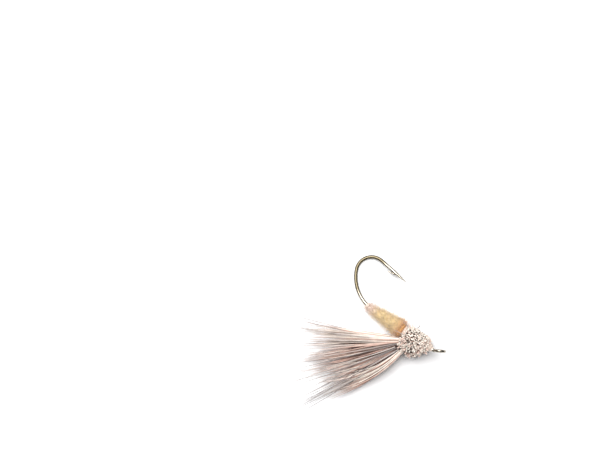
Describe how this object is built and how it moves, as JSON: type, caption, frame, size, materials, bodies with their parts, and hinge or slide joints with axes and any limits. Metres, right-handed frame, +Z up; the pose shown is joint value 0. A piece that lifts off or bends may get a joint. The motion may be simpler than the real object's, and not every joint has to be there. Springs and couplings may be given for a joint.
{
  "type": "dry fly",
  "caption": "Deer-hair dry fly lying on its side: barbed bronze hook with a ringed eye, dubbed amber body, fan wing of deer hair and a spun, clipped hair head.",
  "frame": {"origin": "centre of the hook's eye, on the axis of its hole", "axes": "+Z up from the table that the fly lies on, +X from the eye towards the hook's bend, level, and +Y towards the fly's back, where the wing is; the hook's gape is on the -Y side"},
  "size_m": [0.0245, 0.0224, 0.0068],
  "materials": {
    "hook_wire": "bronze lacquer on polished high-carbon steel wire",
    "tying_thread": "pale waxed thread",
    "lacquer": "thin clear head lacquer",
    "body_dubbing": "soft amber dubbing fur",
    "wing_hair": "natural deer hair, pinkish brown with cream and dark bars",
    "head_hair": "clipped ivory deer hair butts"
  },
  "bodies": {
    "root": {"abdomen_dubbing": "body_dubbing", "collar_butts": "head_hair", "guard_hairs_collar": "wing_hair", "guard_hairs_wing": "wing_hair", "head_cement": "lacquer", "head_clump_front": "head_hair", "head_clump_rear": "head_hair", "hook": "hook_wire", "lashing_front": "tying_thread", "lashing_rear": "tying_thread", "rear_tie_in_wraps": "tying_thread", "shank_thread_base": "tying_thread", "thread_head": "tying_thread", "wing_bunch_inner": "wing_hair", "wing_bunch_inner_middle": "wing_hair", "wing_bunch_middle": "wing_hair", "wing_bunch_outer": "wing_hair", "wing_bunch_outer_middle": "wing_hair", "wing_tie_down_wraps": "tying_thread"}
  },
  "joints": []
}
